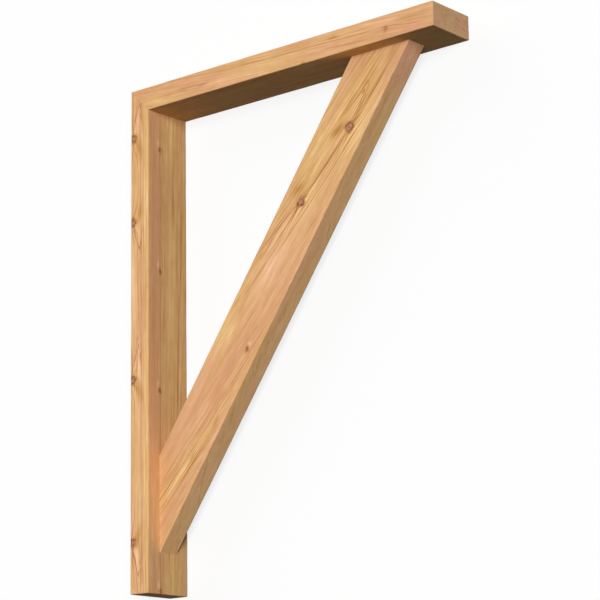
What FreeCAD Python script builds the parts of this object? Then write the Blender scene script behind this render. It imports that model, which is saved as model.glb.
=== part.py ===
"""Wooden bracket: a wall leg and a top arm mitred together, with a diagonal brace between them.

The bracket lies on its side, as it rests on a level floor. X runs out from the wall, Y runs up the
wall and Z runs across the width of the boards. All sizes are in millimetres. The pieces are laid
out from the bracket's outer top corner, where the back of the leg meets the top of the arm, and
are then moved so that the origin is the middle of the bounding box's bottom.
"""
import FreeCAD
import Part
import math
import os

# Overall sizes: 24 in out from the wall and 32 in up it.
arm_length = 609.6
leg_height = 812.8

# Dressed stock of 1 1/2 x 3 1/2 in. The leg and the arm lie flat, so their wide faces are the
# wall face and the top face, and the brace stands on edge between them.
board_width = 88.9
leg_thickness = 38.1
arm_thickness = 38.1
brace_thickness = 38.1
brace_depth = 88.9

# Plain length left past the brace at the free end of the arm and at the foot of the leg.
arm_overhang = 63.5
leg_overhang = 63.5

# Radius to which the sanded arrises are eased.
edge_radius = 1.0

# Cutting shapes are this many times the size they need, so that they reach well past the board.
oversize = 2

# Where the brace's outer long edge meets the arm's underside and the leg's front.
brace_reach = arm_length - arm_overhang
brace_drop = leg_height - leg_overhang


def eased(board, is_arris):
    """Rounds the edges of a board whose middle point passes the test."""
    edges = [edge for edge in board.Edges if is_arris(edge.CenterOfMass)]
    return board.makeFillet(edge_radius, edges)


def make_leg_side():
    """Everything on the leg's side of the mitre, which runs from the outer to the inner corner."""
    outline = [
        (-leg_thickness, arm_thickness),
        (oversize * leg_thickness, -oversize * arm_thickness),
        (oversize * leg_thickness, -oversize * leg_height),
        (-leg_thickness, -oversize * leg_height),
    ]
    corners = [FreeCAD.Vector(x, y, -board_width) for x, y in outline]
    face = Part.Face(Part.makePolygon(corners + corners[:1]))
    return face.extrude(FreeCAD.Vector(0, 0, (1 + oversize) * board_width))


def make_leg():
    """Upright board whose back goes against the wall, square at the foot and mitred at the top."""
    foot = FreeCAD.Vector(0, -leg_height, 0)
    board = Part.makeBox(leg_thickness, leg_height, board_width, foot)
    board = eased(board, lambda middle: middle.y < -edge_radius)
    return board.common(make_leg_side())


def make_arm():
    """Level board that carries the load, mitred at the wall and square at the free end."""
    underside = FreeCAD.Vector(0, -arm_thickness, 0)
    board = Part.makeBox(arm_length, arm_thickness, board_width, underside)
    board = eased(board, lambda middle: middle.x > edge_radius)
    return board.cut(make_leg_side())


def make_brace():
    """Diagonal board on edge, centred across the width and cut flush with the leg and the arm."""
    rise = brace_drop - arm_thickness
    run = brace_reach - leg_thickness
    slope = math.atan2(rise, run)
    spare = brace_depth / math.tan(slope) + brace_depth * math.tan(slope)
    length = math.hypot(rise, run) + 2 * spare
    bottom = (board_width - brace_thickness) / 2
    halfway = length / 2 - spare

    board = Part.makeBox(length, brace_depth, brace_thickness, FreeCAD.Vector(-spare, 0, bottom))
    board = eased(board, lambda middle: abs(middle.x - halfway) < edge_radius)
    board.rotate(FreeCAD.Vector(0, 0, 0), FreeCAD.Vector(0, 0, 1), math.degrees(slope))
    board.translate(FreeCAD.Vector(leg_thickness, -brace_drop, 0))

    low_corner = FreeCAD.Vector(leg_thickness, -arm_thickness - oversize * leg_height, 0)
    inside = Part.makeBox(oversize * arm_length, oversize * leg_height, board_width, low_corner)
    return board.common(inside)


pieces = {
    "wall_leg": make_leg(),
    "top_arm": make_arm(),
    "brace": make_brace(),
}

os.makedirs("parts", exist_ok=True)
for name, piece in pieces.items():
    solid = piece.Solids[0]
    solid.translate(FreeCAD.Vector(-arm_length / 2, leg_height / 2, 0))
    solid.exportStep(f"parts/{name}.step")
    box = solid.BoundBox
    size = f"{box.XLength:.1f} x {box.YLength:.1f} x {box.ZLength:.1f} mm"
    print(f"{name}: {size}, {solid.Volume / 1000:.0f} cm3")
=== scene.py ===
# %% [markdown]
# # A softwood bracket, board by board
# The bracket is three planed softwood boards: a leg that goes against the wall, an arm that carries
# the load, and a diagonal brace set on edge between them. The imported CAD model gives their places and
# sizes. This lesson cuts each board again as a fine mesh, grows rings and knots through it, and puts
# a bare-wood finish on it. Lengths are in metres unless a comment says millimetres.

# %% The frame
import math
from dataclasses import dataclass

import bpy
import numpy as np
from mathutils import Matrix, Vector


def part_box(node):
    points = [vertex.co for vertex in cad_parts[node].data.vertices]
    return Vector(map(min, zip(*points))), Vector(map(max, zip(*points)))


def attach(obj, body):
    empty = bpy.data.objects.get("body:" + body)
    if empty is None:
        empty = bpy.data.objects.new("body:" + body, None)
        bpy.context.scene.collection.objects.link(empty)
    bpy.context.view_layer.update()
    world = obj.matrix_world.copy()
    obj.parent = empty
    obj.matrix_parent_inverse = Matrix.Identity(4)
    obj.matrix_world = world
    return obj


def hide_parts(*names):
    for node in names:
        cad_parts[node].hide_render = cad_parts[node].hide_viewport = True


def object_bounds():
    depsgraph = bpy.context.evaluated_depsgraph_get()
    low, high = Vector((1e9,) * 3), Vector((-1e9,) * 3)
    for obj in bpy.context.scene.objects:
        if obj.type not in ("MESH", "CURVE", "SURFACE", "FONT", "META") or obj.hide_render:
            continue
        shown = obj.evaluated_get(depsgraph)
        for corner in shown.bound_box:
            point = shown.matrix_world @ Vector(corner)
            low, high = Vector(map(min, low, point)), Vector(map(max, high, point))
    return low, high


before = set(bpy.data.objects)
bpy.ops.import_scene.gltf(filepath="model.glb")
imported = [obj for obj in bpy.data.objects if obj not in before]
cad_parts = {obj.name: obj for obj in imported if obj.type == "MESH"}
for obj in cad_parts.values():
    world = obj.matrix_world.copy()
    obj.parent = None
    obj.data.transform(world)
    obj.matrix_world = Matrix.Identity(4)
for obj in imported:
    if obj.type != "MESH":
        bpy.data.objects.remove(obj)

cad_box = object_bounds()
MM = 0.001

# %% [markdown]
# ## The camera
# The bracket lies on its side on the floor, with its top arm away from the camera and its wall leg to
# the left. The camera looks down on that upper side from past the arm's free end and a little from
# under the arm, so the leg's front, the brace's lower edge and the arm's underside show as they do to
# someone who stands below a fitted bracket. The two angles say how far round and how far under it
# stands. A long lens keeps the perspective gentle. The offsets slide the view without turning it.

# %% Camera
round_angle = math.radians(39.91)
under_angle = math.radians(13.52)
roll_angle = math.radians(-0.91)
camera_distance = 3.690
slide_right = 0.2450
slide_up = -0.3294
lens_mm = 135.3
sensor_mm = 36.0

low, high = (Vector(corner) for corner in cad_box)
corner_point = Vector((low.x, high.y, (low.z + high.z) / 2))
looking = Vector((
    -math.sin(round_angle) * math.cos(under_angle),
    math.sin(under_angle),
    -math.cos(round_angle) * math.cos(under_angle),
))
level_right = looking.cross(Vector((0, 1, 0))).normalized()
level_up = level_right.cross(looking)
right = level_right * math.cos(roll_angle) + level_up * math.sin(roll_angle)
up = level_up * math.cos(roll_angle) - level_right * math.sin(roll_angle)
eye = corner_point + right * slide_right + up * slide_up - looking * camera_distance

camera_data = bpy.data.cameras.new("camera")
camera_data.lens = lens_mm
camera_data.sensor_width = sensor_mm
camera = bpy.data.objects.new("camera", camera_data)
turn = Matrix((right, up, -looking)).transposed().to_4x4()
camera.matrix_world = Matrix.Translation(eye) @ turn
bpy.context.scene.collection.objects.link(camera)
bpy.context.scene.camera = camera
bpy.context.scene.view_settings.view_transform = "Standard"
print("camera at", [round(value, 3) for value in eye])

# %% [markdown]
# ## Node helpers
# A material made of nodes is easier to read when each node is one short line. These helpers add a
# node, feed its inputs with values or other nodes' outputs, and hand back what goes on from it.

# %% Node helpers
def feed(tree, socket, value):
    """Links an output to the socket, or sets the socket to a plain value."""
    if isinstance(value, bpy.types.NodeSocket):
        tree.links.new(value, socket)
    else:
        socket.default_value = value


def add(tree, kind, inputs, **settings):
    """Adds a node, makes its settings and feeds its inputs."""
    made = tree.nodes.new(kind)
    for name, value in settings.items():
        setattr(made, name, value)
    for key, value in inputs.items():
        feed(tree, made.inputs[key], value)
    return made


def calc(tree, operation, first, second=0.0):
    """One Math node."""
    return add(tree, "ShaderNodeMath", {0: first, 1: second}, operation=operation).outputs[0]


print("helpers", [helper.__name__ for helper in (feed, add, calc)])

# %% [markdown]
# ## Floor and light
# The bracket lies in a white studio. The floor is a large plane, and what the camera sees of it is
# mostly plain white light with some real shading mixed in, so the bracket keeps a soft, pale shadow.
# Rays that leave the wood meet a darker floor, so that little light comes back up and the arm's
# underside stays as deep as it is under a fitted bracket. One broad lamp lights the upper side most
# and the leg's front about six tenths as much. A second, weaker one behind keeps the wall face
# legible. Together they bring the upper side to level 1, where a colour shows about as it is written.

# %% Floor and light
FLOOR_SIZE = 40.0
FLOOR_GREY = 0.97
SEEN_WHITE = 0.78
BOUNCE_GREY = 0.03
AMBIENT = 0.01


def seen_directly(tree):
    """One for camera, glossy and transmission rays, nought for light that bounces off the floor."""
    path = tree.nodes.new("ShaderNodeLightPath").outputs
    either = calc(tree, "MAXIMUM", path["Is Camera Ray"], path["Is Glossy Ray"])
    return calc(tree, "MAXIMUM", either, path["Is Transmission Ray"])


def mixed_shaders(tree, factor, first, second):
    """The first shader where the factor is nought and the second where it is one."""
    return add(tree, "ShaderNodeMixShader", {0: factor, 1: first, 2: second}).outputs[0]


def plain_shader(tree, kind, level, **inputs):
    """A grey shader of one level."""
    return add(tree, kind, {"Color": (level, level, level, 1), **inputs}).outputs[0]


def cleared_tree(owner):
    """The node tree of a material or a world, emptied."""
    owner.use_nodes = True
    owner.node_tree.nodes.clear()
    return owner.node_tree


def make_floor():
    """A flat square under the bracket, at the lowest level of the CAD box."""
    half = FLOOR_SIZE / 2
    corners = [(-half, -half, low.z), (half, -half, low.z), (half, half, low.z), (-half, half, low.z)]
    mesh = bpy.data.meshes.new("studio_floor")
    mesh.from_pydata(corners, [], [(0, 1, 2, 3)])
    floor = bpy.data.objects.new("studio_floor", mesh)
    bpy.context.scene.collection.objects.link(floor)
    material = bpy.data.materials.new("studio_floor")
    tree = cleared_tree(material)
    shaded = plain_shader(tree, "ShaderNodeBsdfDiffuse", FLOOR_GREY)
    white = plain_shader(tree, "ShaderNodeEmission", 1.0, Strength=1.0)
    dim = plain_shader(tree, "ShaderNodeBsdfDiffuse", BOUNCE_GREY)
    seen = mixed_shaders(tree, SEEN_WHITE, shaded, white)
    both = mixed_shaders(tree, seen_directly(tree), dim, seen)
    add(tree, "ShaderNodeOutputMaterial", {"Surface": both})
    mesh.materials.append(material)


def make_lamp(name, towards, level, softness):
    """A sun whose light comes from the given direction; level 1 square-on shows a colour as written.
    The softness is how wide it looks in the sky, in degrees."""
    lamp = bpy.data.lights.new(name, "SUN")
    lamp.energy = level * math.pi
    lamp.angle = math.radians(softness)
    lamp_object = bpy.data.objects.new(name, lamp)
    aim = Vector(towards).to_track_quat("Z", "Y")
    lamp_object.matrix_world = aim.to_matrix().to_4x4()
    bpy.context.scene.collection.objects.link(lamp_object)


def make_surroundings():
    """White to the camera and a dim even light to everything else."""
    world = bpy.data.worlds.new("studio")
    tree = cleared_tree(world)
    ambient = plain_shader(tree, "ShaderNodeBackground", 1.0, Strength=AMBIENT)
    backdrop = plain_shader(tree, "ShaderNodeBackground", 1.0, Strength=1.0)
    both = mixed_shaders(tree, seen_directly(tree), ambient, backdrop)
    add(tree, "ShaderNodeOutputWorld", {"Surface": both})
    bpy.context.scene.world = world


make_floor()
make_surroundings()
make_lamp("key", towards=(0.59, -0.01, 0.82), level=1.02, softness=28)
make_lamp("back_fill", towards=(-0.60, 0.60, 0.40), level=0.36, softness=50)
print("floor", FLOOR_SIZE, "m square; lamps", [light.name for light in bpy.data.lights])

# %% [markdown]
# ## Where each board lies
# A board is easiest to describe in its own directions: along the grain, across its depth in the plane
# of the bracket, and up through its width. The leg's grain runs up the wall, the arm's out from it, and
# the brace's along its outer edge, which is the diagonal of its box. Each end of a board is cut to a
# plane, so the length at which the cut falls changes evenly across the depth: not at all for a square
# cut, one for one for the mitre, and by the slope of the brace for its two seats. How a board grew is
# written beside its shape, because no two boards off the same saw look alike: its knots, the pointed
# flames of grain above and below some of them, and the places where the wood is yellower, pinker,
# paler or darker. They lie on a face at millimetres along and across the board from its middle.
# Two patches are painted light rather than grown: one brightens the brace's lower edge, and one cancels
# reddish bounce light on the leg's front beside the brace.

# %% Boards
@dataclass
class Knot:
    """A branch that comes out of a face. It pushes the rings round it out by so many rings, as far
    across as its reach and as many times farther along as its stretch. All sizes in millimetres."""
    along: float
    across: float
    radius: float
    face: str = "upper"
    push: float = 1.6
    reach: float = 9.0
    stretch: float = 3.2


@dataclass
class Flame:
    """A pointed arch of grain: its tip, how far and which way it opens, its half width and slant."""
    along: float
    across: float
    run: float
    wide: float
    slant: float
    face: str = "upper"


@dataclass
class Patch:
    """A soft-edged place that is yellower or pinker, paler or darker, and more or less boldly
    grained than the wood round it. The long half is how far it runs along and the wide half across."""
    along: float
    across: float
    long: float
    wide: float
    yellow: float = 0.0
    pale: float = 0.0
    bold: float = 0.0
    face: str = "upper"
    slant: float = 0.0


@dataclass
class Board:
    """A length of stock with its directions, its section, its two cuts and how it grew. A cut is the
    length at which it falls in the middle and how much that changes across the depth. The pith is in
    millimetres across and through, and leans by its two slopes; a ring is so many millimetres thick."""
    node: str
    centre: np.ndarray
    grain: np.ndarray
    across: np.ndarray
    depth: float
    width: float
    start: tuple
    end: tuple
    square_start: bool
    square_end: bool
    pith: tuple
    lean: tuple
    ring: float
    seed: int
    knots: list
    flames: list
    patches: list


def on_front(*places, **tones):
    """A patch on the front face."""
    return Patch(*places, face="front", **tones)


def on_end(*places, **tones):
    """A patch on the cut end."""
    return Patch(*places, face="end", **tones)


print("a board has", list(Board.__annotations__))

# %% Sizes read from the CAD model
leg_low, leg_high = (np.array(corner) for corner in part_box("wall_leg"))
arm_low, arm_high = (np.array(corner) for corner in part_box("top_arm"))
brace_low, brace_high = (np.array(corner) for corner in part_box("brace"))
board_width = leg_high[2] - leg_low[2]
leg_thickness = leg_high[0] - leg_low[0]
arm_thickness = arm_high[1] - arm_low[1]
mid_width = (leg_low[2] + leg_high[2]) / 2
brace_rise = brace_high[1] - brace_low[1]
brace_run = brace_high[0] - brace_low[0]
brace_angle = math.atan2(brace_rise, brace_run)

# The brace is the same stock on edge, and arrises are eased to the same radius as in the CAD model.
brace_depth = board_width
EASE = 1.0 * MM
section_mm = [round(float(side) / MM, 1) for side in (leg_thickness, board_width)]
print("section", section_mm, "mm; brace at", round(math.degrees(brace_angle), 2), "degrees")

# %% The leg
# Patches this long and wide, in millimetres, cover a whole face.
ALL_ALONG = 1000
ALL_ACROSS = 60


def pin_knot(along, across, radius, face="upper"):
    """The knot of a twig, too thin to bend more than the nearest rings."""
    return Knot(along, across, radius, face, push=0.5, reach=5, stretch=6)


def make_leg_board():
    """The leg: grain up the wall, depth towards the wall, square foot and mitred top."""
    pins = (306, 105, -88, -403)
    return Board(
        node="wall_leg",
        centre=np.array([(leg_low[0] + leg_high[0]) / 2, 0, mid_width]),
        grain=np.array([0.0, 1.0, 0.0]),
        across=np.array([-1.0, 0.0, 0.0]),
        depth=leg_thickness,
        width=board_width,
        start=(leg_low[1], 0.0),
        end=(leg_high[1] - arm_thickness / 2, arm_thickness / leg_thickness),
        square_start=True,
        square_end=False,
        pith=(80, -60),
        lean=(0.010, -0.006),
        ring=4.1,
        seed=3,
        knots=[
            Knot(325, 14.2, 5.8),
            Knot(186, 13.8, 5.5),
            Knot(-71, 13.8, 5.6),
            Knot(-327.5, 13.3, 5.8),
            *(pin_knot(pin, 17, 1.3, face="front") for pin in pins),
        ],
        flames=[
            Flame(379, 0, -44, 9, 5),
            Flame(145, 1, 36, 8, 4),
            Flame(-18, 2, -44, 8, 4),
            Flame(-374, 2, 44, 8, 4),
        ],
        patches=[
            Patch(309, 1, 16, 5.5, yellow=0.8, pale=-2.2, slant=0.2),
            Patch(200, 0, 15, 5.5, yellow=0.8, pale=-2.1, slant=-0.2),
            Patch(-88, 0, 16, 5.5, yellow=0.8, pale=-2.1, slant=0.2),
            Patch(-313.5, 0, 15, 5.5, yellow=0.8, pale=-2.1, slant=-0.2),
            Patch(63, 2, 62, 1.6, pale=-1.4),
            Patch(255, 9, 42, 9, yellow=0.3, bold=-0.5),
            Patch(-200, 9, 90, 9, yellow=0.2, bold=-0.5),
            Patch(80, 12, 60, 8, yellow=-0.2, pale=0.7),
            Patch(50, -10, 75, 7, yellow=-0.6, pale=-0.9),
            Patch(0, -15, ALL_ALONG, 7, yellow=0.6, pale=0.35),
            Patch(0, -13.5, ALL_ALONG, 1.1, yellow=0.3, pale=-0.9),
            Patch(240, -8, 90, 1.2, pale=-0.8, slant=-0.01),
            Patch(-200, -7, 90, 1.2, pale=-0.8, slant=0.01),
            Patch(270, 6, 70, 10, yellow=0.1, pale=-0.3),
            Patch(-190, 0, 70, 9, pale=0.3),
            Patch(0, 0, ALL_ALONG, 25, yellow=-0.12, pale=0.25),
            on_front(0, 31, ALL_ALONG, 15, yellow=-0.3, pale=-0.65, bold=-0.5),
            on_front(0, -15, ALL_ALONG, 25, yellow=0.3, pale=-0.43),
            on_front(0, 17, ALL_ALONG, 1.1, pale=-1.3),
            *(on_front(pin, 17, 3.5, 1.4, yellow=-0.3, pale=-3.2) for pin in pins),
            *(on_front(pin + 10, 22, 6, 2.6, yellow=-0.3, pale=1.5) for pin in pins),
            on_front(350, -8, 70, 10, yellow=0.5, pale=0.5),
            on_front(60, -10, 130, 9, yellow=0.5, pale=0.5),
            on_front(-390, -8, 60, 10, yellow=0.5, pale=0.5),
            on_front(220, -14, 30, 1.6, pale=-1.4),
            # Painted light: a paler, yellower place on the leg's front beside the brace. It cancels the
            # reddish light that bounces onto that spot from the brace.
            on_front(-265, 32, 95, 14, yellow=0.4, pale=0.5),
            on_front(0, -44, ALL_ALONG, 2, yellow=0.3, pale=-0.9),
        ],
    )


leg_board = make_leg_board()
print(leg_board.node, len(leg_board.knots), "knots", len(leg_board.patches), "patches")


# %% The arm
def make_arm_board():
    """The arm: grain out from the wall, depth up the wall, mitred start and square free end."""
    return Board(
        node="top_arm",
        centre=np.array([0, (arm_low[1] + arm_high[1]) / 2, mid_width]),
        grain=np.array([1.0, 0.0, 0.0]),
        across=np.array([0.0, 1.0, 0.0]),
        depth=arm_thickness,
        width=board_width,
        start=(arm_low[0] + leg_thickness / 2, -leg_thickness / arm_thickness),
        end=(arm_high[0], 0.0),
        square_start=False,
        square_end=True,
        pith=(95, -70),
        lean=(-0.050, 0.010),
        ring=3.3,
        seed=11,
        knots=[
            Knot(217, -3, 1.7, push=0.7, reach=7, stretch=4),
        ],
        flames=[],
        patches=[
            Patch(0, 0, ALL_ALONG, ALL_ACROSS, pale=-0.1, bold=-0.15),
            Patch(60, 11, 30, 5, yellow=-0.2, pale=-0.6),
            Patch(117, 8, 10, 1.8, yellow=0.2, pale=-2.4),
            Patch(118, 13, 14, 1.2, pale=-0.9),
            Patch(58, -18, 3, 1.8, yellow=-0.2, pale=-3.0),
            Patch(-225, -6, 14, 4, yellow=0.1, pale=-1.0),
            Patch(-112, -4, 30, 3.5, yellow=-0.1, pale=0.9, slant=0.04),
            Patch(-150, -5, 10, 2.5, pale=-1.0, slant=0.1),
            Patch(90, -7, 45, 0.9, pale=-1.2),
            Patch(95, -10, 42, 0.9, pale=-1.2),
            on_front(0, 0, ALL_ALONG, ALL_ACROSS, yellow=0.4, bold=-0.2),
            on_end(18, 10, 16, 8, yellow=0.7, pale=-0.3),
            on_end(-26, 3, 14, 8, yellow=-0.5, pale=0.2),
            on_end(-10, -15, 30, 4, yellow=0.7, pale=-0.2),
            on_end(30, -4, 12, 6, yellow=-0.3, pale=-0.2),
            on_end(-17, 6, 7, 0.9, pale=-2.2, slant=0.3),
            on_end(-30, -6, 6, 0.9, pale=-1.8, slant=0.3),
            on_end(-33, 9, 6, 0.8, pale=-1.6, slant=0.3),
            Patch(-90, -12, 30, 5, pale=0.5),
            Patch(200, 10, 40, 5, yellow=-0.3, pale=0.5),
            Patch(-280, 12, 40, 9, pale=-0.4),
            Patch(-235, -9, 35, 10, yellow=0.2, pale=0.3),
            Patch(-150, 2, 60, 14, yellow=-0.3, pale=-0.2),
            Patch(-190, -4, 12, 5, pale=-0.6),
            Patch(-10, 0, 60, 9, yellow=0.2, pale=0.4),
            Patch(110, -10, 40, 8, yellow=-0.35, pale=0.4),
            Patch(160, 10, 60, 9, pale=0.3),
            Patch(270, -9, 55, 11, yellow=-0.55, pale=-0.2),
        ],
    )


arm_board = make_arm_board()
print(arm_board.node, len(arm_board.knots), "knots", len(arm_board.patches), "patches")


# %% The brace
def make_brace_board():
    """The brace: grain along its outer edge, depth towards the corner, both ends cut to their seats."""
    grain = np.array([math.cos(brace_angle), math.sin(brace_angle), 0.0])
    across = np.array([-math.sin(brace_angle), math.cos(brace_angle), 0.0])
    outer_edge = (brace_low + brace_high) / 2
    centre = outer_edge + across * brace_depth / 2
    tangent = math.tan(brace_angle)
    start = (brace_low[0] - centre[0]) / math.cos(brace_angle)
    end = (brace_high[1] - centre[1]) / math.sin(brace_angle)
    return Board(
        node="brace",
        centre=centre,
        grain=grain,
        across=across,
        depth=brace_depth,
        width=brace_high[2] - brace_low[2],
        start=(start, tangent),
        end=(end, -1 / tangent),
        square_start=False,
        square_end=False,
        pith=(120, -70),
        lean=(-0.150, 0.012),
        ring=3.6,
        seed=23,
        knots=[
            Knot(280, -13.5, 6.8),
            Knot(145, 8.5, 6.2),
            pin_knot(-91, -23.7, 1.8),
        ],
        flames=[
            Flame(336, -8, -50, 10, 6),
            Flame(134, 12, -90, 8, 20),
        ],
        patches=[
            Patch(-91, -23.7, 4, 1.4, yellow=-0.2, pale=-3.2),
            Patch(-83, -22.5, 4, 2.2, pale=1.6),
            Patch(266, 6, 14, 6.5, yellow=0.6, pale=-2.5, slant=-0.3),
            Patch(159, 24, 13, 6.5, yellow=0.6, pale=-2.3, slant=-0.3),
            Patch(208, -3, 60, 2.2, pale=-3.0, slant=-0.17),
            Patch(315, -16, 25, 1.6, pale=-1.8, slant=0.02),
            Patch(355, -25, 65, 2.4, pale=-2.4, slant=-0.08),
            Patch(28, 20, 50, 1.3, pale=-1.9, slant=-0.175),
            Patch(66, 28, 40, 0.9, pale=-1.6, slant=-0.175),
            Patch(80, 4, 38, 0.9, pale=-1.2, slant=-0.175),
            Patch(-238, -8, 110, 1.5, pale=-1.1, slant=-0.149),
            Patch(-320, -22, 80, 1.5, pale=-1.0, slant=-0.15),
            Patch(-310, -14, 90, 3, yellow=0.5, pale=0.7, slant=-0.15),
            # Painted light: the paler tone over the brace's whole lower edge brightens that face beyond what
            # the lamps give it. The touch of yellow and the plainer grain are the wood's own.
            on_front(0, 0, ALL_ALONG, ALL_ACROSS, yellow=0.1, pale=0.32, bold=-0.35),
            on_front(0, 15, ALL_ALONG, 12, yellow=-0.1, pale=-0.1),
            on_front(405, -2, 45, 30, yellow=-0.6, pale=0.1),
            on_front(-400, 0, 60, 40, yellow=0.15),
            Patch(-220, 27, 130, 19, yellow=-0.4, pale=-0.1, bold=-0.8, slant=-0.03),
            Patch(20, -32, 90, 14, bold=-0.4),
            Patch(300, 5, 130, 50, yellow=0.15, pale=0.35, bold=0.05),
            Patch(335, 5, 60, 30, yellow=0.2, pale=-0.5),
            Patch(290, -34, 45, 10, yellow=0.3, pale=0.7),
            Patch(375, 34, 50, 9, yellow=-0.5, pale=-0.1),
            Patch(220, 22, 60, 16, yellow=0.3),
            Patch(160, -8, 50, 12, yellow=0.1, pale=0.6),
            Patch(45, 8, 60, 18, yellow=-0.3, pale=0.9),
            Patch(30, -32, 110, 14, yellow=-0.25, pale=-0.1),
            Patch(-100, 34, 40, 12, yellow=0.25, pale=0.5),
            Patch(-85, 22, 22, 9, yellow=0.35, pale=0.6),
            Patch(-282, -18.5, 10, 3, pale=-1.3),
            Patch(-214, -30.5, 9, 3, pale=-1.2),
            Patch(-78, -32, 40, 1.2, pale=-1.3, slant=-0.15),
            Patch(-150, -26, 50, 1.2, pale=-1.2, slant=-0.15),
            Patch(-130, -4, 80, 16, yellow=-0.05, pale=-0.2),
            Patch(53, 32, 17, 4.5, pale=-1.6, slant=-0.1),
            Patch(53, 32, 9, 2.0, yellow=-0.2, pale=2.4, slant=-0.1),
            Patch(-320, -6, 90, 17, yellow=0.22, pale=0.15, bold=0.7, slant=-0.15),
        ],
    )


brace_board = make_brace_board()
boards = [leg_board, arm_board, brace_board]
print(brace_board.node, len(brace_board.knots), "knots", len(brace_board.patches), "patches")

# %% [markdown]
# ## Smooth noise
# Trees are never quite regular, so rings wander and colour drifts. Gradient noise gives such a drift:
# space is divided into cells, every cell corner gets a pseudo-random slope, and the slopes are blended
# with a smooth weight. A corner's slope is worked out from its whole-number place, so the same place
# always gives the same value and nothing is stored.

# %% Smooth noise
HASH_STEPS = np.array([73856093, 19349663, 83492791], dtype=np.int64)
SEED_STEP = 2654435761
MIXERS = ((15, 2246822519), (13, 3266489917))
HASH_MASK = 0xFFFFFFFF
SLOPE_TOP = 1023
NOISE_GAIN = 1.4


def smooth_noise(points, seed):
    """Gradient noise between about -1 and 1: the corners' slopes blended by 6t^5 - 15t^4 + 10t^3."""
    cell = np.floor(points).astype(np.int64)
    part = points - cell
    smooth = part**3 * (part * (part * 6 - 15) + 10)
    total = np.zeros(points.shape[:-1])
    for corner in np.ndindex(2, 2, 2):
        key = ((cell + corner) * HASH_STEPS).sum(-1) + seed * SEED_STEP
        for shift, factor in MIXERS:
            key = (key ^ (key >> shift)) * factor & HASH_MASK
        levels = [key >> shift & SLOPE_TOP for shift in (0, 10, 20)]
        slopes = np.stack(levels, -1) / (SLOPE_TOP / 2) - 1
        weight = np.prod(np.where(corner, smooth, 1 - smooth), axis=-1)
        total += weight * ((part - corner) * slopes).sum(-1)
    return total * NOISE_GAIN


def drift(x, p, q, sizes, seed):
    """Smooth noise whose cells have the given sizes in millimetres along, across and through."""
    return smooth_noise(np.stack([x / sizes[0], p / sizes[1], q / sizes[2]], -1), seed)


def wander(board, x, p, q, drifts):
    """The sum of several drifts, each given by its amount, its cell sizes and its own number."""
    total = 0
    for amount, sizes, number in drifts:
        total = total + amount * drift(x, p, q, sizes, board.seed + number)
    return total


print("noise check", np.round(smooth_noise(np.array([[0.3, 0.6, 0.2], [5.1, 2.2, 7.7]]), 1), 3))

# %% [markdown]
# ## How the wood grew
# Two of the patches are painted light instead: one brightens the brace's lower edge, and one cancels reddish
# bounce light on the leg's front.
# Growth rings are layers round the pith, which runs near the board and leans a little against its
# edges. A point's ring age is therefore its distance from the pith divided by the ring's thickness. A
# branch pushes later rings out round itself, which adds age near the branch and bends the grain round
# the knot. The knot is the branch itself, seen where the face cuts it. It is widest at that face and
# tapers below it, and in a deep board it ends inside. Twigs leave pin knots. Where a bent ring dips
# out of a face its outline is a pointed arch, here called a flame. On top of that the wood drifts from
# yellow to rose and from pale to deep, and shows its grain boldly in one place and hardly in another,
# and a patch does the same at a chosen place.
#
# One could paint all this on a flat image, but it would not meet at the arrises. These fields are
# worked out in the round instead, for each point of the mesh, and handed to the material as
# attributes, so the relief in the mesh and the colour on it follow the same rings and knots.

# %% Drifts and reaches
# Each drift is its amount, its cell sizes in millimetres along, across and through, and its number.
SWAY_ACROSS = ((6, (380, 160, 160), 0), (0.9, (95, 34, 34), 1))
SWAY_THROUGH = ((6, (420, 160, 160), 2), (0.9, (80, 30, 30), 3))
UNEVEN_RINGS = ((0.9, (13, 1, 1), 4),)
RING_RIPPLE = ((0.16, (60, 7, 7), 5),)
BOLD_DRIFT = ((0.45, (120, 14, 14), 6),)
YELLOW_DRIFT = ((0.34, (190, 15, 15), 7),)
PALE_DRIFT = ((0.45, (130, 9, 9), 8), (0.35, (45, 5, 5), 9), (0.3, (15, 8, 8), 12))
MEAN_BOLD = 0.45
MEAN_YELLOW = 0.48
BOLD_RANGE = (0.05, 1.3)

# How far below a face, in millimetres, a thing that shows on it still reaches.
BEND_DEPTH = 40
BOLD_DEPTH = 25
FLAME_DEPTH = 6
PATCH_DEPTH = 3

# A branch thins and leans by so much in each millimetre below the face, and is longer than wide.
BRANCH_TAPER = 0.09
BRANCH_LEAN = 0.2
BRANCH_SQUASH = 0.9

# How much bolder the grain is beside a knot, over how many radii, and how much farther along.
KNOT_BOLDNESS = 0.5
KNOT_BOLD_REACH = 2.2
KNOT_BOLD_STRETCH = 5

# How a flame opens, how far its lines spread in millimetres, and how far they reach past its tip.
FLAME_POWER = 0.6
FLAME_SPREAD = 9
FLAME_NOSE = 0.25
FAR_AWAY = 40.0


def bell(ratio):
    """One at nought, falling to nothing on both sides: e to the power of minus the ratio squared."""
    return np.exp(-(ratio**2))


def on_face(board, face, x, p, q):
    """Places along and across a face, and the depth below it, in millimetres."""
    if face == "upper":
        return x, p, board.width / 2 / MM - q
    if face == "end":
        return q, p, board.end[0] / MM - x
    return x, q, board.depth / 2 / MM + p


print("rings", [board.ring for board in boards], "mm thick")


# %% Rings and knots
def grow_rings(board, x, p, q):
    """Ring age: distance from the leaning, wandering pith over the ring's thickness, more at a knot.
    The rings are uneven by a drift that changes only with that distance."""
    reach = np.hypot(
        p - board.pith[0] - board.lean[0] * x + wander(board, x, p, q, SWAY_ACROSS),
        q - board.pith[1] - board.lean[1] * x + wander(board, x, p, q, SWAY_THROUGH),
    )
    uneven = wander(board, reach, 0 * x, 0 * x, UNEVEN_RINGS)
    age = reach / board.ring + uneven + wander(board, x, p, q, RING_RIPPLE)
    for knot in board.knots:
        along, across, depth = on_face(board, knot.face, x, p, q)
        eye = np.hypot((along - knot.along) / knot.stretch, across - knot.across)
        age = age + knot.push * bell(eye / knot.reach) * bell(depth / BEND_DEPTH)
    return age


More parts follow.
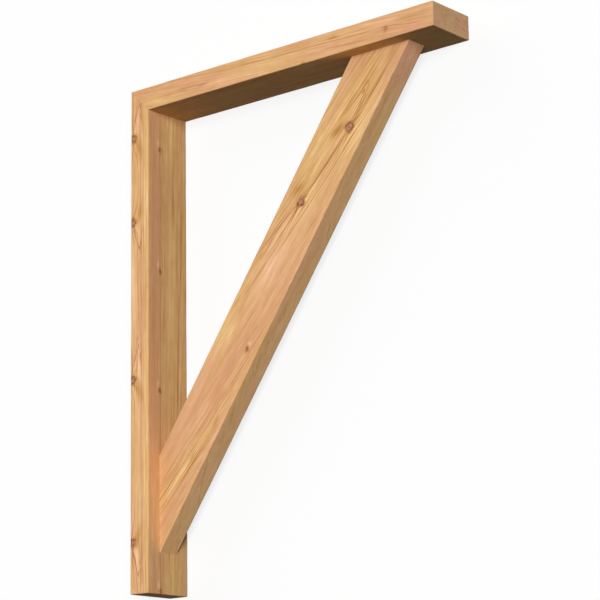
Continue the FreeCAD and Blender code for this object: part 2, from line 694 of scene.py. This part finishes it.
def grow_knots(board, x, p, q):
    """Millimetres inside the nearest branch, and how boldly the grain shows: most beside a knot."""
    inside = np.full(x.shape, -FAR_AWAY)
    bold = MEAN_BOLD + wander(board, x, p, q, BOLD_DRIFT)
    for knot in board.knots:
        along, across, depth = on_face(board, knot.face, x, p, q)
        axis = knot.along + BRANCH_LEAN * depth
        off_axis = np.hypot((along - axis) * BRANCH_SQUASH, across - knot.across)
        inside = np.maximum(inside, knot.radius - off_axis - BRANCH_TAPER * depth)
        near = np.hypot((along - knot.along) / KNOT_BOLD_STRETCH, across - knot.across)
        near = near / (KNOT_BOLD_REACH * knot.radius)
        bold = bold + KNOT_BOLDNESS * bell(near) * bell(depth / BOLD_DEPTH)
    return inside, bold


print("branches taper by", BRANCH_TAPER, "mm in each mm below the face")


# %% Flames and patches
def grow_flames(board, x, p, q):
    """Millimetres outside the nearest pointed arch, whose half width grows as a power of the run from
    its tip, and how strongly it shows: it dies away at the open end and below the face."""
    outside = np.full(x.shape, FAR_AWAY)
    strength = np.zeros(x.shape)
    for flame in board.flames:
        along, across, depth = on_face(board, flame.face, x, p, q)
        run = (along - flame.along) / flame.run
        part = np.clip(run, 0, 1)
        edge = np.abs(across - flame.across - flame.slant * part) - flame.wide * part**FLAME_POWER
        before = np.hypot((along - flame.along) * FLAME_NOSE, across - flame.across)
        distance = np.where(run < 0, before, edge)
        nearest = np.abs(distance) < np.abs(outside)
        outside = np.where(nearest, distance, outside)
        fade = np.clip((1.15 - run) / 0.4, 0, 1) * np.clip((run + 0.7) / 0.4, 0, 1)
        shown = fade * bell(depth / FLAME_DEPTH) * bell(distance / FLAME_SPREAD)
        strength = np.maximum(strength, shown)
    return outside, strength


def grow_tone(board, x, p, q, bold):
    """How yellow and pale the wood is and how bold its grain: slow drift, with the patches laid over."""
    yellow = MEAN_YELLOW + wander(board, x, p, q, YELLOW_DRIFT)
    pale = wander(board, x, p, q, PALE_DRIFT)
    for patch in board.patches:
        along, across, depth = on_face(board, patch.face, x, p, q)
        on = along - patch.along
        off = across - patch.across - patch.slant * on
        weight = bell(on / patch.long) * bell(off / patch.wide) * bell(depth / PATCH_DEPTH)
        yellow = yellow + patch.yellow * weight
        pale = pale + patch.pale * weight
        bold = bold + patch.bold * weight
    return yellow, pale, np.clip(bold, *BOLD_RANGE)


print("flames", [len(board.flames) for board in boards])


# %% All growth fields
def grow(board, x, p, q):
    """Every growth field at points given in millimetres, by the name of its attribute."""
    inside, bold = grow_knots(board, x, p, q)
    outside, strength = grow_flames(board, x, p, q)
    yellow, pale, bold = grow_tone(board, x, p, q, bold)
    return {
        "age": grow_rings(board, x, p, q),
        "inside_knot": inside,
        "bold": bold,
        "outside_flame": outside,
        "flame_strength": strength,
        "yellow": yellow,
        "pale": pale,
    }


def late_wood(age):
    """Hard late wood builds up through the last half of each ring, as the square of the way there,
    and stops almost at once where the next ring begins."""
    part = age - np.floor(age)
    return np.clip((part - 0.45) / 0.45, 0, 1) ** 2 * np.clip((1 - part) / 0.08, 0, 1)


print("late wood over one ring", np.round(late_wood(np.linspace(0, 1, 6)), 2))

# %% [markdown]
# ## Cutting a board
# A box with a bevel would do for a plain board, but it has no points inside its faces for grain and
# knots. So each board is a surface on a grid: a rounded rectangle carried along the grain from one cut
# to the other. A closed loop goes round the section, rows go along the length, and rows crowd together
# at the knots. At a square end the loop draws in over a quarter circle, which eases the arris, and then
# shrinks to a point in the end's middle, which closes it. A mitre or a seat stays crisp, because a
# joint's edges are cut, not sanded.

# %% Section and rows
LOOP_STEP = 1.25 * MM
CORNER_STEPS = 3
SMALLEST_RADIUS = EASE / 10
EASE_STEPS = 4
END_RINGS = 14

# Spacing of the rows in millimetres, and how far from a knot they stay close.
COARSE_ROW = 3.0
FINE_ROW = 1.1
FINE_REACH = 2.2
FINE_MARGIN = 2
LENGTH_SAMPLES = 4001


def section(board, inset):
    """Closed loop round a rounded rectangle, drawn in by the inset: four quarter circles and the
    straight runs between them, anticlockwise as seen from the end of the board."""
    radius = max(EASE - inset, SMALLEST_RADIUS)
    flat = np.array([board.depth, board.width]) / 2 - inset - radius
    signs = np.array([[1, 1], [-1, 1], [-1, -1], [1, -1]])
    turn = np.linspace(0, math.pi / 2, CORNER_STEPS + 1)
    loops = []
    for number, sign in enumerate(signs):
        angle = turn + number * math.pi / 2
        arc = sign * flat + radius * np.stack([np.cos(angle), np.sin(angle)], -1)
        next_angle = (number + 1) * math.pi / 2
        following = signs[(number + 1) % 4] * flat
        following = following + radius * np.array([math.cos(next_angle), math.sin(next_angle)])
        side = (board.depth, board.width)[number % 2]
        steps = int(round(side / LOOP_STEP))
        part = np.linspace(0, 1, steps + 1)[1:-1, None]
        loops += [arc, arc[-1] + (following - arc[-1]) * part]
    return np.concatenate(loops)


def body_rows(board):
    """Fractions of the length, about 3 mm apart and closer at the knots."""
    length = (board.end[0] - board.start[0]) / MM
    fraction = np.linspace(0, 1, LENGTH_SAMPLES)
    along = board.start[0] / MM + fraction * length
    density = np.full(along.shape, 1 / COARSE_ROW)
    for knot in board.knots:
        near = bell((along - knot.along) / (FINE_REACH * knot.radius + FINE_MARGIN))
        density = np.maximum(density, (1 / FINE_ROW) * near)
    total = np.concatenate([[0], np.cumsum((density[1:] + density[:-1]) / 2 * np.diff(along))])
    return np.interp(np.linspace(0, total[-1], int(total[-1])), total, fraction)


def all_rows(board):
    """Part of the way between the cuts, pull away from them, inset and shrink of every row."""
    shrink = np.arange(END_RINGS) / END_RINGS
    quarter = np.linspace(0, math.pi / 2, EASE_STEPS + 1)[:-1]
    start_ease = EASE if board.square_start else 0.0
    end_ease = EASE if board.square_end else 0.0
    body = body_rows(board)
    rows = []
    for ease, square in ((start_ease, board.square_start), (end_ease, board.square_end)):
        ring = np.stack([0 * shrink, 0 * shrink, ease + 0 * shrink, shrink], -1)
        if square:
            pull = ease * (1 - np.cos(quarter))
            inset = ease * (1 - np.sin(quarter))
            curve = np.stack([0 * quarter, pull, inset, 1 + 0 * quarter], -1)
            ring = np.concatenate([ring, curve])
        rows.append(ring)
    middle = np.stack([body, start_ease * (1 - body) - end_ease * body, 0 * body, 1 + 0 * body], -1)
    finish = rows[1][::-1] * [1, -1, 1, 1] + [1, 0, 0, 0]
    return np.concatenate([rows[0], middle, finish])


def board_grid(board):
    """Length, depth and width coordinates of the surface: one line per row, one column per loop point."""
    rows = all_rows(board)
    loops = {inset: section(board, inset) for inset in set(rows[:, 2])}
    cross = np.stack([loops[inset] * shrink for _, _, inset, shrink in rows])
    start = board.start[0] + board.start[1] * cross[..., 0]
    end = board.end[0] + board.end[1] * cross[..., 0]
    part = rows[:, 0][:, None]
    along = start * (1 - part) + end * part + rows[:, 1][:, None]
    return np.concatenate([along[..., None], cross], -1)


for board in boards:
    grid = board_grid(board)
    print(board.node, "grid", grid.shape, "triangles", 2 * grid.shape[0] * grid.shape[1])

# %% [markdown]
# ## Relief
# Sanding wears the soft early wood a little lower than the hard late wood, so the grain can be felt. A
# knot is harder still, and a fine groove follows its rim where it shrank. The arrises have been taken
# off by hand and vary along their length. All relief goes inwards, so no point leaves the board's own
# box.

# %% Relief
GRAIN_DEPTH = 0.10 * MM
RIM_DEPTH = 0.30 * MM
SAW_DEPTH = 0.12 * MM
ARRIS_DEPTH = 0.45 * MM

# Half widths in millimetres of the groove and of the worn arris.
RIM_WIDTH = 0.55
ARRIS_WIDTH = 1.3
GRAIN_DRIFT = ((0.25, (26, 2.6, 2.6), 8),)
SAW_DRIFT = ((0.5, (5, 3, 3), 9),)
WEAR_DRIFT = ((1, (45, 400, 400), 10),)

# A normal that points along the grain by more than this is on a cut end.
END_FACING = 0.6
SHARP_ANGLE = math.radians(40)


def outward(grid):
    """Unit normal at every grid point: the cross product of the steps along the rows and the loop."""
    along_loop = np.roll(grid, -1, axis=1) - np.roll(grid, 1, axis=1)
    along_rows = np.gradient(grid, axis=0)
    normal = np.cross(along_loop, along_rows)
    size = np.linalg.norm(normal, axis=-1, keepdims=True)
    return normal / np.maximum(size, 1e-12)


def relief(board, grid, normal, age, inside):
    """Depth in metres: grain on the faces, saw marks on the ends, a groove round knots, worn arrises."""
    x, p, q = np.moveaxis(grid / MM, -1, 0)
    cut_end = np.abs(normal[..., 0]) > END_FACING
    grain = GRAIN_DEPTH * (1 - late_wood(age)) * (0.75 + wander(board, x, p, q, GRAIN_DRIFT))
    sawn = SAW_DEPTH * (0.5 + wander(board, x, p, q, SAW_DRIFT))
    rim = RIM_DEPTH * bell(inside / RIM_WIDTH)
    edge = board.depth / 2 / MM - np.abs(p)
    side = board.width / 2 / MM - np.abs(q)
    near_arris = bell((edge + side) / ARRIS_WIDTH)
    worn = ARRIS_DEPTH * near_arris * np.clip(wander(board, x, p, q, WEAR_DRIFT), 0, 1)
    return np.where(cut_end, np.clip(sawn, 0, None), grain + rim) + worn


def grid_faces(rows, columns):
    """Squares between neighbouring rows, and a fan of triangles to the one point at either end."""
    here = np.arange(columns)
    following = (here + 1) % columns
    row = 1 + np.arange(rows - 3)[:, None] * columns
    next_row = row + columns
    squares = np.stack([row + here, row + following, next_row + following, next_row + here], -1)
    last_row = 1 + (rows - 3) * columns
    pole = last_row + columns
    near_fan = np.stack([0 * here, 1 + following, 1 + here], -1)
    far_fan = np.stack([0 * here + pole, last_row + here, last_row + following], -1)
    return squares.reshape(-1, 4), np.concatenate([near_fan, far_fan])


print("relief in mm", [round(depth / MM, 2) for depth in (GRAIN_DEPTH, SAW_DEPTH, RIM_DEPTH, ARRIS_DEPTH)])


# %% The three boards
def cut_board(board):
    """Makes the board's mesh with its relief and its growth attributes, in the bracket's own place."""
    grid = board_grid(board)
    normal = outward(grid)
    fields = grow(board, *np.moveaxis(grid / MM, -1, 0))
    lowered = relief(board, grid, normal, fields["age"], fields["inside_knot"])
    grid = grid - normal * lowered[..., None]
    rows, columns = grid.shape[:2]
    keep = np.r_[0, columns:(rows - 1) * columns, (rows - 1) * columns]
    points = grid.reshape(-1, 3)[keep]
    points[0] = grid[1].mean(0)
    points[-1] = grid[-2].mean(0)
    directions = np.array([board.grain, board.across, [0.0, 0.0, 1.0]])
    places = board.centre + points @ directions
    squares, fans = grid_faces(rows, columns)
    mesh = bpy.data.meshes.new(board.node + "_board")
    mesh.from_pydata(places, [], squares.tolist() + fans.tolist())
    for name, values in fields.items():
        attribute = mesh.attributes.new(name, "FLOAT", "POINT")
        attribute.data.foreach_set("value", values.reshape(-1)[keep].astype(np.float32))
    mesh.polygons.foreach_set("use_smooth", np.ones(len(mesh.polygons), dtype=bool))
    mesh.set_sharp_from_angle(angle=SHARP_ANGLE)
    piece = bpy.data.objects.new(board.node + "_board", mesh)
    bpy.context.scene.collection.objects.link(piece)
    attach(piece, "root")
    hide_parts(board.node)
    return piece


pieces = [cut_board(board) for board in boards]
for piece in pieces:
    print(piece.name, len(piece.data.vertices), "points", len(piece.data.polygons), "faces")

# %% [markdown]
# ## Helpers for patterns and colours
# The finish is mostly sums, products and soft steps of a few patterns, so each of these is one short
# call. A shader group is built once, with named inputs and outputs, and placed wherever it is needed.

# %% Pattern and colour helpers
# Places of the colour sockets on a Mix node.
MIX_FACTOR, MIX_A, MIX_B, MIX_RESULT = 0, 6, 7, 2
NOISE_ROUGHNESS = 0.55


def display(red, green, blue):
    """A colour as a screen shows it, 0 to 255, turned into the linear light that shaders use."""
    levels = np.array([red, green, blue]) / 255
    linear = np.where(levels <= 0.04045, levels / 12.92, ((levels + 0.055) / 1.055) ** 2.4)
    return (*(float(level) for level in linear), 1.0)


def product_of(tree, result, *factors):
    """The product of all the values."""
    for factor in factors:
        result = calc(tree, "MULTIPLY", result, factor)
    return result


def sum_of(tree, result, *terms):
    """The sum of all the values."""
    for term in terms:
        result = calc(tree, "ADD", result, term)
    return result


def swing(tree, value, amount):
    """A value from 0 to 1 turned into one that swings from minus to plus half the amount."""
    return product_of(tree, calc(tree, "SUBTRACT", value, 0.5), amount)


def ramp_between(tree, value, low_end, high_end, floor=0.0, ceiling=1.0):
    """A smooth step from the floor at the low end to the ceiling at the high end."""
    inputs = {0: value, 1: low_end, 2: high_end, 3: floor, 4: ceiling}
    return add(tree, "ShaderNodeMapRange", inputs, interpolation_type="SMOOTHSTEP").outputs[0]


def blend(tree, factor, first, second, mode="MIX"):
    """One colour mix."""
    inputs = {MIX_FACTOR: factor, MIX_A: first, MIX_B: second}
    made = add(tree, "ShaderNodeMix", inputs, data_type="RGBA", blend_type=mode)
    return made.outputs[MIX_RESULT]


def stretched_noise(tree, place, sizes, detail, seed):
    """Noise whose cells have the given sizes in millimetres along, across and through the board."""
    scale = [1 / size for size in sizes]
    shift = (seed, seed * 0.37, -seed)
    small = add(tree, "ShaderNodeVectorMath", {0: place, 1: scale}, operation="MULTIPLY").outputs[0]
    moved = add(tree, "ShaderNodeVectorMath", {0: small, 1: shift}, operation="ADD").outputs[0]
    inputs = {"Vector": moved, "Scale": 1.0, "Detail": detail, "Roughness": NOISE_ROUGHNESS}
    return add(tree, "ShaderNodeTexNoise", inputs).outputs[0]


def new_group(name, inputs, outputs):
    """A node group with named sockets; returns the tree and the nodes at its two ends."""
    tree = bpy.data.node_groups.new(name, "ShaderNodeTree")
    for label, kind in inputs:
        tree.interface.new_socket(label, in_out="INPUT", socket_type="NodeSocket" + kind)
    for label, kind in outputs:
        tree.interface.new_socket(label, in_out="OUTPUT", socket_type="NodeSocket" + kind)
    return tree, tree.nodes.new("NodeGroupInput"), tree.nodes.new("NodeGroupOutput")


def finish_group(tree, result, outputs):
    """Feeds the group's outputs by name and returns its tree."""
    for label, value in outputs.items():
        feed(tree, result.inputs[label], value)
    return tree


def use_group(tree, group, inputs):
    """Places a group in a material and feeds its inputs by name."""
    made = tree.nodes.new("ShaderNodeGroup")
    made.node_tree = group
    for label, value in inputs.items():
        feed(tree, made.inputs[label], value)
    return made


print("tan on screen 221 172 121 is", [round(level, 3) for level in display(221, 172, 121)])

# %% [markdown]
# ## Effects that every board shares
# Five groups make the finish, each built once and placed in every board's material. The first two
# make the grain. Growth rings turns a ring age into a dark line at the end of each ring, with a chance
# value for each ring, because some years leave a strong line and some hardly any. Fibres gives the
# streaks that run with the grain: fine ones under a millimetre wide, and broad ones of a few.

# %% Grain groups
def make_ring_group():
    """Late wood line, which rises through the ring and stops at its end, and the ring's chance."""
    tree, given, result = new_group(
        "Growth rings", [("Age", "Float")], [("Late wood", "Float"), ("Ring chance", "Float")]
    )
    age = given.outputs["Age"]
    part = calc(tree, "FRACT", age)
    year = calc(tree, "FLOOR", age)
    chance = add(tree, "ShaderNodeTexWhiteNoise", {"W": year}, noise_dimensions="1D").outputs[0]
    rise = calc(tree, "POWER", ramp_between(tree, part, 0.38, 0.92), 1.8)
    stop = ramp_between(tree, part, 1.0, 0.92)
    strength = sum_of(tree, product_of(tree, chance, chance, 0.85), 0.15)
    line = product_of(tree, rise, stop, strength)
    return finish_group(tree, result, {"Late wood": line, "Ring chance": chance})


def make_fibre_group():
    """Fine streaks under a millimetre wide and broader ones a few millimetres wide, along the grain."""
    tree, given, result = new_group(
        "Fibres", [("Place", "Vector")], [("Fine", "Float"), ("Broad", "Float")]
    )
    fine = stretched_noise(tree, given.outputs["Place"], (62, 0.9, 0.9), 3, 3.1)
    broad = stretched_noise(tree, given.outputs["Place"], (170, 3.4, 3.4), 2, 8.7)
    return finish_group(tree, result, {"Fine": fine, "Broad": broad})


ring_group = make_ring_group()
fibre_group = make_fibre_group()
print("groups", [group.name for group in bpy.data.node_groups])

# %% [markdown]
# ## Knots and flames
# A knot is a sawn-off branch: a rosy heart with rings of its own, a dark rim of bark and resin that is
# broken here and there, and denser wood hugging it. Its outline is never a true circle, so noise moves
# it a little in and out. A flame is drawn by the distance from its arch: a few dark lines that repeat
# outside it and fade away, and paler wood within.

# %% Knot and flame groups
KNOT_RAGGED = 6.0
FLAME_RAGGED = 2.4
FLAME_LINE_SPACING = 3.8


def make_knot_group():
    """Mask of the branch, its dark broken rim, its own rings, and the dense wood that hugs it."""
    tree, given, result = new_group(
        "Knot",
        [("Inside", "Float"), ("Place", "Vector")],
        [("Knot", "Float"), ("Knot rim", "Float"), ("Knot rings", "Float"), ("Knot halo", "Float")],
    )
    place = given.outputs["Place"]
    ragged = stretched_noise(tree, place, (4, 4, 4), 3, 5.5)
    inside = sum_of(tree, given.outputs["Inside"], swing(tree, ragged, KNOT_RAGGED))
    broken = ramp_between(tree, stretched_noise(tree, place, (8, 6, 6), 1, 1.5), 0.38, 0.58, 0.15, 1.0)
    wave = calc(tree, "SINE", product_of(tree, inside, 2.1))
    rings = sum_of(tree, product_of(tree, wave, 0.3), 0.3, ramp_between(tree, ragged, 0.35, 0.65, 0.0, 0.4))
    outer_rim = ramp_between(tree, inside, -1.8, 0.6)
    inner_rim = ramp_between(tree, inside, 3.2, 0.9)
    halo = ramp_between(tree, inside, -5.5, -0.5)
    return finish_group(tree, result, {
        "Knot": ramp_between(tree, inside, -2.2, 1.2),
        "Knot rim": product_of(tree, outer_rim, inner_rim, broken),
        "Knot rings": rings,
        "Knot halo": product_of(tree, halo, broken),
    })


def make_flame_group():
    """Dark lines that repeat outside a pointed arch and fade away from it, and the paler wood inside."""
    tree, given, result = new_group(
        "Flame",
        [("Outside", "Float"), ("Strength", "Float"), ("Place", "Vector")],
        [("Flame line", "Float"), ("Flame within", "Float")],
    )
    strength = given.outputs["Strength"]
    ragged = stretched_noise(tree, given.outputs["Place"], (30, 5, 5), 2, 2.5)
    outside = sum_of(tree, given.outputs["Outside"], swing(tree, ragged, FLAME_RAGGED))
    part = calc(tree, "FRACT", calc(tree, "DIVIDE", outside, FLAME_LINE_SPACING))
    from_line = calc(tree, "ABSOLUTE", calc(tree, "SUBTRACT", part, 0.2))
    line = ramp_between(tree, from_line, 0.36, 0.04)
    far_fade = ramp_between(tree, outside, 8.0, 1.5)
    near_fade = ramp_between(tree, outside, -3.4, -0.4)
    within = ramp_between(tree, outside, 0.0, -3.0)
    return finish_group(tree, result, {
        "Flame line": product_of(tree, line, far_fade, near_fade, strength),
        "Flame within": product_of(tree, within, strength),
    })


knot_group = make_knot_group()
flame_group = make_flame_group()
print("groups", [group.name for group in bpy.data.node_groups])

# %% [markdown]
# ## Softwood colour
# Bare softwood is one warm tan that leans to rose in one place and to straw in another. Whatever makes
# it denser, such as late wood, resin by a knot or a dark streak, deepens that tan as more dye deepens a
# cloth: each channel is the tint to the power of the density, so brown comes of itself and no second
# brown has to be matched to the ground. End grain is greyer, because its open pores hold dust and
# scatter the light. Streaks show less where the grain is plain.

# %% Colour group
ROSE_TAN = display(223, 166, 126)
PEACH = display(223, 171, 123)
HONEY = display(221, 173, 117)
STRAW = display(226, 181, 119)
END_TAN = display(206, 168, 136)
DENSE_TINT = (0.86, 0.78, 0.70)
KNOT_DARK = display(142, 92, 58)
KNOT_LIGHT = display(206, 150, 112)
KNOT_RIM = display(110, 68, 42)

# How much each thing adds to the density and to how yellow the wood is.
LATE_DENSITY = 4.6
STREAK_DENSITY = {"Fine": -6.2, "Broad": -2.0}
MARK_DENSITY = {"Flame line": 2.6, "Flame within": -0.6, "Knot halo": 2.2}
BROAD_YELLOW = 1.1
RING_YELLOW = 0.20
WITHIN_YELLOW = -0.1
END_GREYNESS = 0.42
RIM_STRENGTH = 0.8
ROUGHNESS = 0.74
LATE_ROUGHNESS = -0.14
END_ROUGHNESS = 0.26
LATE_HEIGHT = 0.8


def ground_ramp(tree, yellow):
    """Four tans in a row, from rose to straw."""
    ramp = add(tree, "ShaderNodeValToRGB", {0: yellow})
    stops = ramp.color_ramp.elements
    stops[0].position, stops[0].color = 0.0, ROSE_TAN
    stops[1].position, stops[1].color = 1.0, STRAW
    for position, colour in ((0.35, PEACH), (0.65, HONEY)):
        stops.new(position).color = colour
    return ramp.outputs[0]


def raised(tree, tint, density):
    """The tint to the power of the density, channel by channel, as light fades in a denser dye."""
    powers = [calc(tree, "POWER", channel, density) for channel in tint]
    return add(tree, "ShaderNodeCombineColor", dict(enumerate(powers))).outputs[0]


def make_colour_group():
    """Ground colour by how yellow it is, darkened by all that makes the wood denser, then the knots."""
    floats = (
        "Yellow", "Pale", "Bold", "Late wood", "Ring chance", "Fine", "Broad",
        "Flame line", "Flame within", "Knot", "Knot rim", "Knot rings", "Knot halo", "End grain",
    )
    tree, given, result = new_group(
        "Softwood colour",
        [(label, "Float") for label in floats],
        [("Color", "Color"), ("Roughness", "Float"), ("Height", "Float")],
    )
    value = given.outputs
    plainness = ramp_between(tree, value["Bold"], 0.0, 0.9, 0.3, 1.0)
    yellow = sum_of(
        tree,
        value["Yellow"],
        product_of(tree, swing(tree, value["Broad"], BROAD_YELLOW), plainness),
        swing(tree, value["Ring chance"], RING_YELLOW),
        product_of(tree, value["Flame within"], WITHIN_YELLOW),
    )
    line = product_of(tree, value["Late wood"], value["Bold"], LATE_DENSITY)
    streaks = sum_of(tree, *(swing(tree, value[label], much) for label, much in STREAK_DENSITY.items()))
    marks = (product_of(tree, value[label], much) for label, much in MARK_DENSITY.items())
    density = calc(tree, "SUBTRACT", line, value["Pale"])
    density = sum_of(tree, density, product_of(tree, streaks, plainness), *marks)
    greyness = product_of(tree, value["End grain"], END_GREYNESS)
    ground = blend(tree, greyness, ground_ramp(tree, yellow), END_TAN)
    colour = blend(tree, 1.0, ground, raised(tree, DENSE_TINT, density), "MULTIPLY")
    heart = blend(tree, value["Knot rings"], KNOT_DARK, KNOT_LIGHT)
    colour = blend(tree, value["Knot"], colour, heart)
    colour = blend(tree, product_of(tree, value["Knot rim"], RIM_STRENGTH), colour, KNOT_RIM)
    smoother = product_of(tree, value["Late wood"], LATE_ROUGHNESS)
    rougher = product_of(tree, value["End grain"], END_ROUGHNESS)
    return finish_group(tree, result, {
        "Color": colour,
        "Roughness": sum_of(tree, ROUGHNESS, smoother, rougher),
        "Height": sum_of(tree, value["Fine"], product_of(tree, value["Late wood"], LATE_HEIGHT)),
    })


colour_group = make_colour_group()
print("groups", [group.name for group in bpy.data.node_groups])

# %% [markdown]
# ## Bare softwood on each board
# The wood is planed and sanded and has no oil or varnish, so it is rough with only a faint sheen, and
# rougher still on end grain. A Mapping node turns the bracket's coordinates into the board's own, in
# millimetres, so that one set of groups serves boards that lie three different ways. The dot product
# of the surface's normal and the grain direction finds end grain.

# %% Softwood material
FAINT_SHEEN = 0.1
BUMP_DEPTH = 0.12 * MM
BUMP_STRENGTH = 0.5


def softwood(board):
    """The finish of one board, read in the board's own directions."""
    material = bpy.data.materials.new(board.node + "_softwood")
    material.use_nodes = True
    tree = material.node_tree
    shader = tree.nodes["Principled BSDF"]
    coordinates = tree.nodes.new("ShaderNodeTexCoord").outputs["Object"]
    turn = math.atan2(board.grain[1], board.grain[0]) + math.atan(board.lean[0])
    own_frame = {"Location": board.centre, "Rotation": (0, 0, turn), "Scale": (MM, MM, MM)}
    mapping = add(tree, "ShaderNodeMapping", {"Vector": coordinates, **own_frame}, vector_type="TEXTURE")
    place = mapping.outputs[0]
    grown = {}
    for name in ("age", "inside_knot", "bold", "outside_flame", "flame_strength", "yellow", "pale"):
        grown[name] = add(tree, "ShaderNodeAttribute", {}, attribute_name=name).outputs["Fac"]
    normal = tree.nodes.new("ShaderNodeNewGeometry").outputs["Normal"]
    facing = add(tree, "ShaderNodeVectorMath", {0: normal, 1: board.grain}, operation="DOT_PRODUCT")
    end_grain = ramp_between(tree, calc(tree, "ABSOLUTE", facing.outputs["Value"]), 0.55, 0.85)
    rings = use_group(tree, ring_group, {"Age": grown["age"]})
    fibres = use_group(tree, fibre_group, {"Place": place})
    knot = use_group(tree, knot_group, {"Inside": grown["inside_knot"], "Place": place})
    flame = use_group(tree, flame_group, {
        "Outside": grown["outside_flame"], "Strength": grown["flame_strength"], "Place": place,
    })
    traits = {"Yellow": grown["yellow"], "Pale": grown["pale"], "Bold": grown["bold"], "End grain": end_grain}
    for effect in (rings, fibres, knot, flame):
        traits.update({output.name: output for output in effect.outputs})
    finish = use_group(tree, colour_group, traits)
    texture = {"Height": finish.outputs["Height"], "Distance": BUMP_DEPTH, "Strength": BUMP_STRENGTH}
    bump = add(tree, "ShaderNodeBump", texture)
    tree.links.new(finish.outputs["Color"], shader.inputs["Base Color"])
    tree.links.new(finish.outputs["Roughness"], shader.inputs["Roughness"])
    tree.links.new(bump.outputs[0], shader.inputs["Normal"])
    shader.inputs["Specular IOR Level"].default_value = FAINT_SHEEN
    return material


for board, piece in zip(boards, pieces):
    piece.data.materials.append(softwood(board))
print("materials", [material.name for material in bpy.data.materials])
